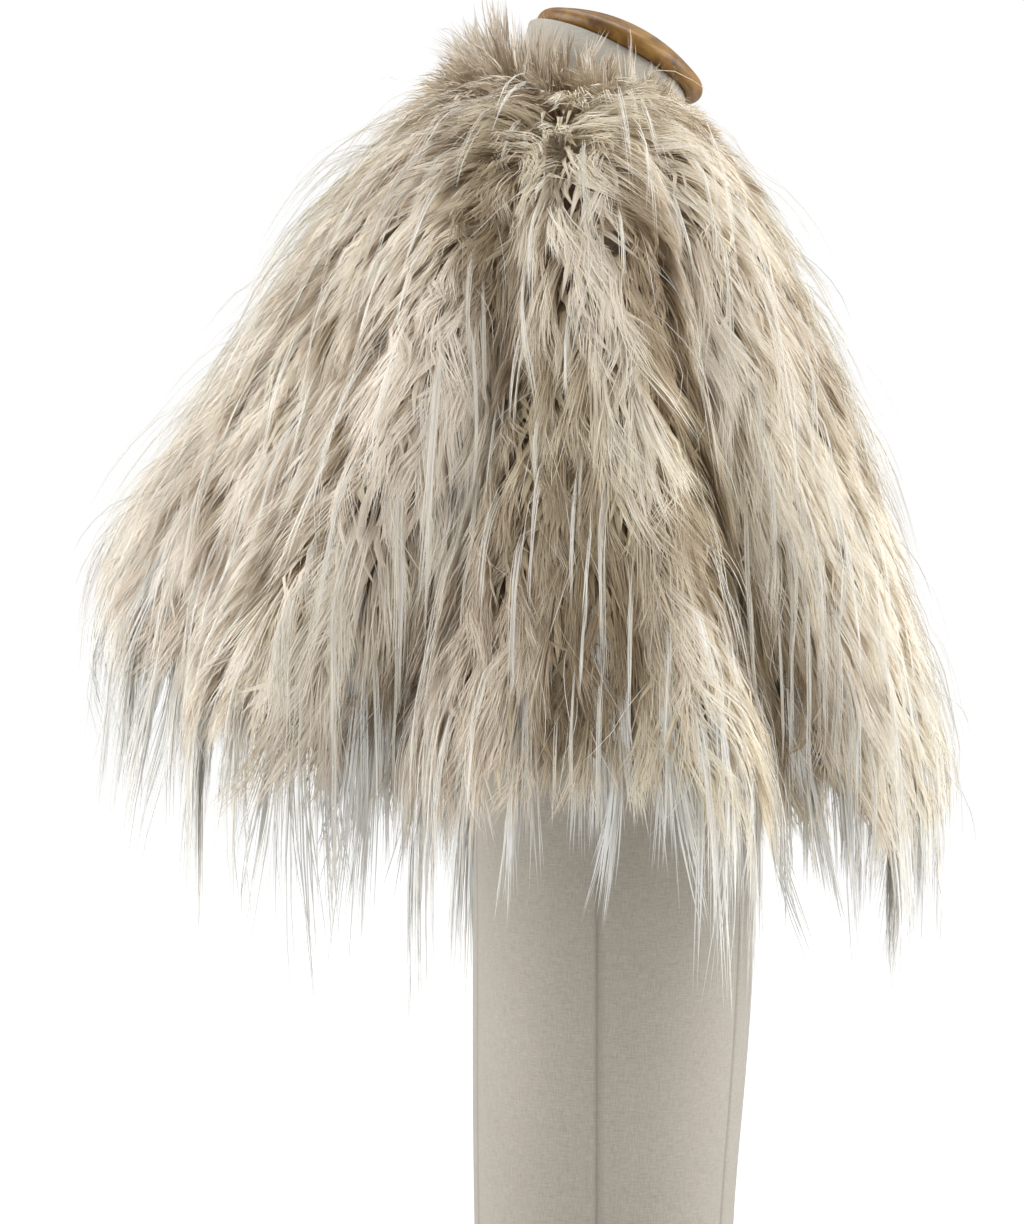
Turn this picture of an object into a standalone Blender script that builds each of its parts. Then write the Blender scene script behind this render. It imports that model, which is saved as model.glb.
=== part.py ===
# A faux fur shrug, worn on a limbless linen dress form with a turned wooden neck cap.
# Metres, +Z up. The form faces -Y, the wearer's right is -X, and the origin is the centre of
# the form's flat base. Azimuths are in degrees round the form: 0 at the centre front, 90 at
# the wearer's right, 180 at the centre back, 270 at the wearer's left.

from collections import namedtuple

import bmesh
import bpy
import numpy as np

Ring = namedtuple("Ring", "z_front z_side z_back front back half_width")
Fold = namedtuple("Fold", "azimuth depth spread start")
Panel = namedtuple("Panel", "name first last columns")
Section = namedtuple("Section", "z half_width front back power")

# Driving dimensions
cloth_thickness = 0.0020     # knitted backing of the fur fabric
layer_gap = 0.0003           # between pieces that touch, and across a sewn seam
pile_depth = 0.030           # dense pile, out from the backing
tuft_rise_front = 0.006      # pile that stands up round the neck edge
tuft_rise_side = 0.022
tuft_rise_back = 0.031
tuft_zone = 0.25             # share of the way down over which it lies down
tuft_draw = 0.55             # share of the pile's depth given up where it stands
hair_reach = 0.096           # longest guard hair below the hem
reach_tip = 0.003            # thickness of the reach where it ends
reach_drop = 1.2             # pull straight down against the slope of the cloth
front_gap_neck = 0.002       # the front edges lie side by side at the neck
front_gap_hem = 0.012        # and part a little at the hem
ring_power = 2.2             # the rings are a little squarer than an ellipse (2)
fold_window = 1.6            # how far a flute reaches to each side, in spreads
fold_growth = 1.15           # how a flute deepens from its start to the hem
fan_azimuth = 96             # the flutes fan out from the shoulders
fan_width = 52               # degrees round the shoulder in which they do so
fan_start = 0.20             # share of the way down where the fan begins
fan_growth = 1.4
fan_narrowest = 0.5          # share of its spread that a flute keeps near the shoulder

# The shrug's rings, neck edge to hem: heights at the front, side and back, how far the ring
# lies in front of and behind the form's axis, and its half width
shrug_rings = [Ring(*row) for row in (
    (0.702, 0.738, 0.766, 0.068, 0.072, 0.082),    # neck edge
    (0.664, 0.722, 0.724, 0.078, 0.110, 0.126),    # shoulder slope
    (0.622, 0.701, 0.678, 0.093, 0.141, 0.178),    # shoulder point
    (0.576, 0.654, 0.634, 0.114, 0.169, 0.211),    # shoulder drop
    (0.520, 0.590, 0.592, 0.137, 0.196, 0.227),    # upper arm
    (0.460, 0.516, 0.556, 0.155, 0.219, 0.239),
    (0.400, 0.445, 0.520, 0.167, 0.243, 0.249),
    (0.345, 0.376, 0.486, 0.172, 0.265, 0.257),    # hem
)]

# The flutes that the flared cloth falls into: crests stand out, valleys lie in. Each has its
# depth at the hem, its half spread and where it starts between neck edge (0) and hem (1)
shrug_folds = [Fold(*row) for row in (
    (12, -0.007, 11, 0.40),
    (36, 0.018, 17, 0.22),
    (64, -0.028, 12, 0.22),
    (81, 0.026, 12, 0.14),
    (101, 0.010, 9, 0.45),
    (115, -0.025, 10, 0.32),
    (128, 0.021, 11, 0.20),
    (143, -0.014, 10, 0.40),
    (166, 0.008, 14, 0.36),
    (201, -0.017, 13, 0.34),
    (223, 0.020, 14, 0.24),
    (246, -0.021, 13, 0.30),
    (270, 0.024, 16, 0.20),
    (296, -0.022, 14, 0.30),
    (322, 0.020, 16, 0.25),
    (347, -0.006, 11, 0.42),
)]

# The cut pieces, in order round the body, with the azimuths of their seams
shrug_panels = [Panel(*row) for row in (
    ("front_right", 0, 62, 14),
    ("side_right", 62, 116, 14),
    ("back", 116, 244, 26),
    ("side_left", 244, 298, 14),
    ("front_left", 298, 360, 14),
)]
cloth_rows = 10              # from neck edge to hem
reach_rows = 3               # below the hem

# The dress form's sections, base to neck: height, half width, how far the section lies in
# front of and behind the axis, and the power that squares it (2 is an ellipse)
form_sections = [Section(*row) for row in (
    (0.000, 0.106, 0.079, 0.079, 2.3),     # flat base
    (0.060, 0.104, 0.079, 0.080, 2.3),     # waist
    (0.130, 0.107, 0.085, 0.081, 2.3),
    (0.200, 0.111, 0.091, 0.081, 2.3),
    (0.290, 0.118, 0.095, 0.081, 2.3),
    (0.390, 0.129, 0.099, 0.084, 2.3),
    (0.450, 0.137, 0.104, 0.088, 2.3),
    (0.520, 0.143, 0.106, 0.093, 2.3),     # bust
    (0.570, 0.149, 0.098, 0.096, 2.3),
    (0.620, 0.158, 0.083, 0.096, 2.2),     # shoulder blades
    (0.654, 0.170, 0.071, 0.092, 2.1),
    (0.677, 0.177, 0.065, 0.087, 2.0),     # shoulder points
    (0.691, 0.174, 0.062, 0.084, 2.0),
    (0.702, 0.159, 0.059, 0.081, 2.0),
    (0.714, 0.133, 0.056, 0.077, 1.9),
    (0.725, 0.101, 0.054, 0.072, 1.9),     # foot of the neck
    (0.736, 0.071, 0.053, 0.066, 2.0),
    (0.748, 0.060, 0.052, 0.060, 2.0),
)]
form_columns = 40
form_rows = 27

# The neck cap: a turned disc with a round nose and a low dome, leaning forward
cap_radius = 0.0565
cap_nose = 0.0055            # radius of its rounded edge
cap_dome = 0.0240            # height over its flat underside
cap_centre = (0.0, -0.0102, 0.7838)    # in the plane of the nose
cap_lean = np.radians(25)
cap_sides = 40
neck_top = Section(cap_centre[2], 0.053, 0.0505, 0.0465, 2.0)    # slopes to meet the cap

colours = {
    "backing": (0.42, 0.36, 0.30),
    "pile": (0.78, 0.70, 0.60),
    "linen": (0.62, 0.58, 0.52),
    "wood": (0.42, 0.22, 0.08),
}


def column(rows, name):
    return np.array([getattr(row, name) for row in rows])


def smooth(values, at):
    """A Catmull-Rom curve through evenly spaced values, read at places from 0 to their last."""
    padded = np.concatenate([[2 * values[0] - values[1]], values, [2 * values[-1] - values[-2]]])
    index = np.clip(np.floor(at).astype(int), 0, len(values) - 2)
    part = at - index
    before, first, second, after = (padded[index + step] for step in range(4))
    return first + 0.5 * part * (
        second - before
        + part * (2 * before - 5 * first + 4 * second - after)
        + part**2 * (3 * (first - second) + after - before)
    )


def ring_point(azimuth, down):
    """The unfluted ring at a share of the way down from neck edge (0) to hem (1)."""
    place = down * (len(shrug_rings) - 1)
    ring = Ring(*(smooth(column(shrug_rings, name), place) for name in Ring._fields))
    turn = np.radians(azimuth)
    sine, cosine = np.sin(turn), np.cos(turn)
    squared = 2 / ring_power
    x = -ring.half_width * np.sign(sine) * np.abs(sine) ** squared
    reach = np.where(cosine > 0, ring.front, ring.back)
    y = -reach * np.sign(cosine) * np.abs(cosine) ** squared
    end = np.where(cosine > 0, ring.z_front, ring.z_back)
    bend = np.where(cosine > 0, 2.0, 2.0 + down)
    z = ring.z_side + (end - ring.z_side) * np.abs(cosine) ** bend
    return np.stack([x, y, z], axis=-1)


def fold_course(fold, down):
    """Where a flute lies at a share of the way down, and how much of its spread it has there."""
    shoulder = fan_azimuth if fold.azimuth < 180 else 360 - fan_azimuth
    away = fold.azimuth - shoulder
    drawn = np.exp(-((away / fan_width) ** 2))
    opened = np.clip((down - fan_start) / (1 - fan_start), 0, 1) ** fan_growth
    share = 1 - drawn * (1 - opened)
    return shoulder + away * share, np.maximum(share, fan_narrowest)


def fold_depth(azimuth, down):
    """How far the flutes carry the cloth out from its ring."""
    total = np.zeros_like(azimuth)
    for fold in shrug_folds:
        centre, width = fold_course(fold, down)
        away = np.clip((azimuth - centre) / (fold_window * fold.spread * width), -1, 1)
        grown = np.clip((down - fold.start) / (1 - fold.start), 0, 1) ** fold_growth
        total += fold.depth * grown * np.cos(0.5 * np.pi * away) ** 2
    return total


def unit(vectors):
    return vectors / np.linalg.norm(vectors, axis=-1, keepdims=True)


def outward(surface, azimuth, down):
    """Unit normals of a surface of azimuth and way down, by small steps each way."""
    turn, drop = 0.05, 0.001
    across = surface(azimuth + turn, down) - surface(azimuth - turn, down)
    low, high = np.minimum(down + drop, 1), np.maximum(down - drop, 0)
    along = surface(azimuth, low) - surface(azimuth, high)
    return unit(np.cross(across, along))


def cloth_surface(azimuth, down):
    """The outer face of the backing."""
    out = outward(ring_point, azimuth, down)
    return ring_point(azimuth, down) + fold_depth(azimuth, down)[..., None] * out


def part_edges(points, first_gap, last_gap):
    """Draws the two side edges of a grid in along the cloth, each by half its gap."""
    moved = points.copy()
    moved[:, 0] += 0.5 * first_gap[:, None] * unit(points[:, 1] - points[:, 0])
    moved[:, -1] += 0.5 * last_gap[:, None] * unit(points[:, -2] - points[:, -1])
    return moved


def panel_layers(panel):
    """The backing's two faces and the pile's two faces, as grids of rows by columns."""
    down, azimuth = np.meshgrid(
        np.linspace(0, 1, cloth_rows + 1),
        np.linspace(panel.first, panel.last, panel.columns + 1),
        indexing="ij",
    )
    face = cloth_surface(azimuth, down)
    out = outward(cloth_surface, azimuth, down)
    pile_out = outward(ring_point, azimuth, down)

    lift = np.clip(1 - down / tuft_zone, 0, 1)[..., None] ** 1.5
    up = np.array([0.0, 0.0, 1.0])
    facing = np.cos(np.radians(azimuth))[..., None]
    end_rise = np.where(facing > 0, tuft_rise_front, tuft_rise_back)
    rise = tuft_rise_side + (end_rise - tuft_rise_side) * facing**2
    pile_face = face + pile_depth * (1 - tuft_draw * lift) * pile_out + rise * lift * up

    # Below the hem the hair hangs on, from the slope of the cloth towards straight down
    slope = unit(face[-1] - face[-2])
    fall = unit(slope - reach_drop * up)
    steps = np.linspace(0, 1, reach_rows + 1)[1:, None, None]
    inner_reach = face[-1] + layer_gap * out[-1] + hair_reach * steps * fall
    depth = pile_depth + (reach_tip - pile_depth) * steps
    outer_reach = inner_reach + depth * pile_out[-1]

    layers = {
        "face": face,
        "under_side": face - cloth_thickness * out,
        "pile_root": np.concatenate([face + layer_gap * out, inner_reach]),
        "pile_face": np.concatenate([pile_face, outer_reach]),
    }
    for key, points in layers.items():
        rows = len(points)
        front = front_gap_neck + (front_gap_hem - front_gap_neck) * np.linspace(0, 1, rows)
        seam = np.full(rows, layer_gap)
        layers[key] = part_edges(
            points, front if panel.first == 0 else seam, front if panel.last == 360 else seam
        )
    return layers


def make_material(name, colour, roughness):
    material = bpy.data.materials.new(name)
    material.use_nodes = True
    shader = material.node_tree.nodes["Principled BSDF"]
    shader.inputs["Base Color"].default_value = (*colour, 1)
    shader.inputs["Roughness"].default_value = roughness
    shader.inputs["Metallic"].default_value = 0.0
    return material


def make_object(name, mesh_data, material, sharp=50):
    """A mesh object from a bmesh, its faces turned outward."""
    bmesh.ops.recalc_face_normals(mesh_data, faces=mesh_data.faces)
    mesh = bpy.data.meshes.new(name)
    mesh_data.to_mesh(mesh)
    mesh_data.free()
    mesh.materials.append(material)
    mesh.shade_smooth()
    mesh.set_sharp_from_angle(angle=np.radians(sharp))
    made = bpy.data.objects.new(name, mesh)
    bpy.context.scene.collection.objects.link(made)
    return made


def strip(mesh_data, first, second):
    """Triangles between two rows of corners, each cell split from first[k] to second[k + 1]."""
    for k in range(len(first) - 1):
        mesh_data.faces.new((first[k], second[k], second[k + 1]))
        mesh_data.faces.new((first[k], second[k + 1], first[k + 1]))


def slab(name, outer, inner, material):
    """A closed wall between two grids of the same size. Neighbours share the way their cells
    are split, so facing walls stay parallel across their gap."""
    mesh_data = bmesh.new()
    outer_side = [[mesh_data.verts.new(point) for point in row] for row in outer]
    inner_side = [[mesh_data.verts.new(point) for point in row] for row in inner]
    for row in range(len(outer) - 1):
        strip(mesh_data, outer_side[row], outer_side[row + 1])
        strip(mesh_data, inner_side[row], inner_side[row + 1])
    for row in (0, -1):
        strip(mesh_data, inner_side[row], outer_side[row])
    for side in (0, -1):
        strip(mesh_data, [row[side] for row in inner_side], [row[side] for row in outer_side])
    return make_object(name, mesh_data, material)


def build_shrug():
    backing = make_material("fur_backing", colours["backing"], 0.9)
    pile = make_material("fur_pile", colours["pile"], 0.7)
    for panel in shrug_panels:
        layers = panel_layers(panel)
        slab(panel.name, layers["face"], layers["under_side"], backing)
        slab("pile_" + panel.name, layers["pile_face"], layers["pile_root"], pile)


def oval(section):
    """Corners of a squared ellipse round the axis, whose depth differs front and back."""
    turn = np.linspace(0, 2 * np.pi, form_columns, endpoint=False)
    sine, cosine = np.sin(turn), np.cos(turn)
    squared = 2 / section.power
    x = -section.half_width * np.sign(sine) * np.abs(sine) ** squared
    reach = np.where(cosine > 0, section.front, section.back)
    y = -reach * np.sign(cosine) * np.abs(cosine) ** squared
    return x, y


def build_form():
    """A solid torso lofted through its sections, ending in the neck's sloping top."""
    rings = []
    for at in np.linspace(0, len(form_sections) - 1, form_rows):
        section = Section(*(smooth(column(form_sections, name), at) for name in Section._fields))
        x, y = oval(section)
        rings.append(np.stack([x, y, np.full(form_columns, section.z)], axis=-1))

    x, y = oval(neck_top)
    drop = (cap_nose + layer_gap) / np.cos(cap_lean)
    z = neck_top.z - drop + np.tan(cap_lean) * (y - cap_centre[1])
    rings.append(np.stack([x, y, z], axis=-1))

    mesh_data = bmesh.new()
    loops = [[mesh_data.verts.new(point) for point in ring] for ring in rings]
    for lower, upper in zip(loops, loops[1:]):
        strip(mesh_data, lower + lower[:1], upper + upper[:1])
    mesh_data.faces.new(loops[0])
    mesh_data.faces.new(loops[-1])
    make_object("form_body", mesh_data, make_material("linen", colours["linen"], 0.85))


def build_cap():
    """The neck cap's half profile, from the axis out under, round the nose and over the dome."""
    flat = cap_radius - cap_nose
    turns = np.linspace(-0.5 * np.pi, 0.42 * np.pi, 8)
    profile = [(0.0, -cap_nose)]
    profile += [(flat + cap_nose * np.cos(turn), cap_nose * np.sin(turn)) for turn in turns]
    start, low = profile[-1]
    top = cap_dome - cap_nose
    for share in np.linspace(1, 0, 6)[1:]:
        profile.append((start * share, top - (top - low) * share**2.2))

    mesh_data = bmesh.new()
    corners = [mesh_data.verts.new((radius, 0, height)) for radius, height in profile]
    edges = [mesh_data.edges.new(pair) for pair in zip(corners, corners[1:])]
    bmesh.ops.spin(
        mesh_data, geom=corners + edges, cent=(0, 0, 0), axis=(0, 0, 1),
        angle=2 * np.pi, steps=cap_sides, use_duplicate=False,
    )
    bmesh.ops.remove_doubles(mesh_data, verts=mesh_data.verts, dist=0.00001)
    cap = make_object("neck_cap", mesh_data, make_material("wood", colours["wood"], 0.25))
    cap.location = cap_centre
    cap.rotation_euler = (cap_lean, 0, 0)


for leftover in list(bpy.data.objects):
    bpy.data.objects.remove(leftover)
build_form()
build_cap()
build_shrug()
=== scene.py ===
import math

import bpy
import numpy as np
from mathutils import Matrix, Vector
from mathutils.bvhtree import BVHTree


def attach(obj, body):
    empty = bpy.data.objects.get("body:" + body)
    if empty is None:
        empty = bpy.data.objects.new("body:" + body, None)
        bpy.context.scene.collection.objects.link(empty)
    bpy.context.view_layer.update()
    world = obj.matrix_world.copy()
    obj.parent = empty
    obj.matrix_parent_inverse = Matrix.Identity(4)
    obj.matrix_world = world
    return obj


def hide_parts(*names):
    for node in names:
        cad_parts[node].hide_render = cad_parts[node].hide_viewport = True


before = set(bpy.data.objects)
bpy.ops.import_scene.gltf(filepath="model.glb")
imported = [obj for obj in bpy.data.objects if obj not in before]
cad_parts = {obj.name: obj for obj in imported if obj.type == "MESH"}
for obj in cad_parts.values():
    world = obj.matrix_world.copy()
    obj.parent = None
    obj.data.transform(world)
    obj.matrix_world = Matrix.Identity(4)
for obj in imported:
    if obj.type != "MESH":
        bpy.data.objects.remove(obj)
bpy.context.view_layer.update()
bpy.context.scene.view_settings.view_transform = "Standard"

# Azimuths run from the centre front (0) over the wearer's right (90), back (180) and left (270).
panelNames = ["front_right", "side_right", "back", "side_left", "front_left"]


def pickOnly(piece):
    bpy.ops.object.select_all(action="DESELECT")
    piece.select_set(True)
    bpy.context.view_layer.objects.active = piece


def copyOf(nodeName, newName):
    # a merged copy of a CAD node, free of the node's own marks
    piece = bpy.data.objects.new(newName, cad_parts[nodeName].data.copy())
    bpy.context.collection.objects.link(piece)
    piece.data.name = newName
    piece.data.materials.clear()
    pickOnly(piece)
    bpy.ops.object.mode_set(mode="EDIT")
    bpy.ops.mesh.select_all(action="SELECT")
    bpy.ops.mesh.remove_doubles(threshold=0.00002)
    flat = math.radians(60)
    bpy.ops.mesh.tris_convert_to_quads(face_threshold=flat, shape_threshold=flat)
    bpy.ops.mesh.select_all(action="DESELECT")
    bpy.ops.object.mode_set(mode="OBJECT")
    return piece


def keepModifier(piece, kind, **settings):
    # adds a modifier and applies it at once
    pickOnly(piece)
    bpy.ops.object.modifier_add(type=kind)
    modifier = piece.modifiers[-1]
    for key, value in settings.items():
        setattr(modifier, key, value)
    bpy.ops.object.modifier_apply(modifier=modifier.name)


def feed(node, inputs):
    # sets each input to a value, or links it to another node's output
    for key, value in inputs.items():
        if isinstance(value, bpy.types.NodeSocket):
            node.id_data.links.new(value, node.inputs[key])
        else:
            node.inputs[key].default_value = value


def addNode(nodes, kind, inputs=None, **settings):
    # gives the new node's outputs
    node = nodes.new("ShaderNode" + kind)
    for key, value in settings.items():
        setattr(node, key, value)
    feed(node, inputs or {})
    return node.outputs


def addRamp(nodes, factor, stops):
    ramp = addNode(nodes, "ValToRGB", {0: factor})[0]
    elements = ramp.node.color_ramp.elements
    while len(elements) < len(stops):
        elements.new(0.5)
    for element, (place, colour) in zip(elements, stops):
        element.position = place
        element.color = (*colour, 1)
    return ramp


def mixColours(nodes, factor, first, second, **settings):
    inputs = {"Factor": factor, "A": first, "B": second}
    return addNode(nodes, "Mix", inputs, data_type="RGBA", **settings)["Result"]


def remap(nodes, value, source, target, **settings):
    # from one pair of limits to another
    limits = zip(("From Min", "From Max", "To Min", "To Max"), (*source, *target))
    return addNode(nodes, "MapRange", {"Value": value, **dict(limits)}, **settings)[0]


def newMaterial(name, inputs):
    # a material, its nodes and what its one shader puts out
    material = bpy.data.materials.new(name)
    material.use_nodes = True
    nodes = material.node_tree.nodes
    nodes.clear()
    shader = addNode(nodes, "BsdfPrincipled", inputs)[0]
    addNode(nodes, "OutputMaterial", {"Surface": shader})
    return material, nodes, shader


combing = {
    "columns": 720,  # azimuth steps
    "rows": 80,  # steps from neck edge to hem
    "rays": 200,
    "centre": (0, 0.01, 0.45),
    "rayFrom": 0.60,  # metres off the centre, and how far in it looks
    "rayReach": 0.54,
    "highest": 84,  # degrees above level
    "lowest": -36,
    "widestGap": 7,  # degrees, bridged where the fronts part
    "softening": 2.5,  # columns
    "fluteWindow": 56,  # columns to each side, for the level that flutes stand out from
}


def castRays(centre):
    # looks at the backing from outside along rays to the centre, column by column
    corners, faces, owners = [], [], []
    for number, name in enumerate(panelNames):
        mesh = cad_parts[name].data
        mesh.calc_loop_triangles()
        start = len(corners)
        corners += [vertex.co.copy() for vertex in mesh.vertices]
        for triangle in mesh.loop_triangles:
            faces.append([start + i for i in triangle.vertices])
            owners.append(number)
    tree = BVHTree.FromPolygons(corners, faces)
    columns, rays, far = combing["columns"], combing["rays"], combing["rayFrom"]
    reach = np.full((columns, rays), np.nan)
    owner = np.full((columns, rays), -1)
    heights = np.radians(np.linspace(combing["highest"], combing["lowest"], rays))
    turns = np.radians(np.arange(columns) * 360 / columns)
    level = np.stack([-np.sin(turns), -np.cos(turns), turns * 0], 1)
    way = np.cos(heights)[None, :, None] * level[:, None, :]
    way[:, :, 2] = np.sin(heights)
    for i in range(columns):
        for j in range(rays):
            towards = Vector(way[i, j])
            hit = tree.ray_cast(centre + towards * far, -towards, combing["rayReach"])
            if hit[2] is not None:
                reach[i, j] = far - hit[3]
                owner[i, j] = owners[hit[2]]
    return way, reach, owner


def bridgeGaps(ring):
    # fills the seams and the front gap in one ring of rays
    columns = combing["columns"]
    widest = int(combing["widestGap"] * columns / 360)
    held = np.flatnonzero(~np.isnan(ring))
    if len(held) < 2:
        return
    spaces = np.diff(np.append(held, held[0] + columns))
    for first, space in zip(held, spaces):
        if 1 < space <= widest:
            share = np.arange(1, space) / space
            last = (first + space) % columns
            ring[(first + np.arange(1, space)) % columns] = ring[first] * (1 - share) + ring[last] * share


def traceCloth():
    # evenly spaced points down each column, the panel under each point, and the columns' lengths
    centre = Vector(combing["centre"])
    way, reach, owner = castRays(centre)
    for ring in reach.T:
        bridgeGaps(ring)
    columns, rows = combing["columns"], combing["rows"]
    points = np.zeros((columns, rows, 3))
    panels = np.full((columns, rows), -1)
    lengths = np.zeros(columns)
    for i in range(columns):
        held = np.flatnonzero(~np.isnan(reach[i]))
        run = held[: np.argmax(np.append(np.diff(held) > 3, True)) + 1]
        line = np.array(centre) + way[i, run] * reach[i, run, None]
        travel = np.append(0, np.cumsum(np.linalg.norm(np.diff(line, axis=0), axis=1)))
        wanted = np.linspace(0, travel[-1], rows)
        for axis in range(3):
            points[i, :, axis] = np.interp(wanted, travel, line[:, axis])
        panels[i] = owner[i, run[np.searchsorted(travel, wanted).clip(0, len(run) - 1)]]
        lengths[i] = travel[-1]
    reachOut = int(combing["softening"] * 3)
    steps = np.arange(-reachOut, reachOut + 1)
    weights = np.exp(-0.5 * (steps / combing["softening"]) ** 2)
    weights /= weights.sum()
    points = sum(w * np.roll(points, s, axis=0) for w, s in zip(weights, steps))
    lengths = sum(w * np.roll(lengths, s) for w, s in zip(weights, steps))
    return points, panels, lengths


def unit(vectors):
    return vectors / np.maximum(np.linalg.norm(vectors, axis=-1, keepdims=True), 1e-9)


clothPoints, clothPanels, clothLengths = traceCloth()
columnCount, rowCount = clothLengths.size, combing["rows"]
downWays = unit(np.gradient(clothPoints, axis=1))
roundSteps = (np.roll(clothPoints, -1, axis=0) - np.roll(clothPoints, 1, axis=0)) / 2
roundPace = np.linalg.norm(roundSteps, axis=2) * columnCount / 360  # metres for each degree
roundWays = unit(roundSteps)
outWays = unit(np.cross(roundWays, downWays))
window = np.arange(-combing["fluteWindow"], combing["fluteWindow"] + 1)
smoothCape = sum(np.roll(clothPoints, s, axis=0) for s in window) / len(window)
crestHeights = ((clothPoints - smoothCape) * outWays).sum(2)  # how far a flute stands out
print("cloth traced, length", round(clothLengths.min(), 3), "to", round(clothLengths.max(), 3))
print("flutes", round(crestHeights.min(), 4), "to", round(crestHeights.max(), 4))


def readMap(table, azimuth, share=0.0):
    # bilinear, round the azimuth and clamped between neck and hem
    column = (azimuth % 360) * columnCount / 360
    low = np.floor(column).astype(int)
    part = column - low
    low, high = low % columnCount, (low + 1) % columnCount
    if table.ndim == 1:
        return table[low] * (1 - part) + table[high] * part
    row = np.clip(share, 0, 1) * (rowCount - 1)
    top = np.minimum(np.floor(row).astype(int), rowCount - 2)
    down = row - top
    if table.ndim == 3:
        part, down = part[..., None], down[..., None]
    first = table[low, top] * (1 - part) + table[high, top] * part
    second = table[low, top + 1] * (1 - part) + table[high, top + 1] * part
    return first * (1 - down) + second * down


def overCloth(azimuth, travel, turn=0.03):
    # a place on the cloth, or where hair stands over the neck edge, or past the hem, where
    # it swings to straight down over the length of the turn
    length = readMap(clothLengths, azimuth)
    share = travel / length
    along = unit(readMap(downWays, azimuth, share))
    above = np.minimum(travel, 0)[..., None]
    below = np.maximum(travel - length, 0)[..., None]
    swung = turn * (1 - np.exp(-below / turn))
    point = readMap(clothPoints, azimuth, share) + along * (above + swung)
    point = point + np.array([0, 0, -1.0]) * (below - swung)
    return point, along, unit(readMap(outWays, azimuth, share))


def bump(value, width, middle=0):
    return np.exp(-(((value - middle) / width) ** 2))


def rampUp(value, start, reach):
    return np.clip((value - start) / reach, 0, 1)


def turnBetween(azimuth, middle):
    return (azimuth - middle + 180) % 360 - 180


def patches(points, size, seed):
    # soft blotches from a few crossing waves, about -1 to 1
    rng = np.random.default_rng(seed)
    total = np.zeros(points.shape[:-1])
    for _ in range(7):
        wave = unit(rng.normal(size=3)) * 2 * math.pi / (size * rng.uniform(0.7, 1.5))
        total += np.sin(points @ wave + rng.uniform(0, 6.28))
    return total / 2.6


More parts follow.
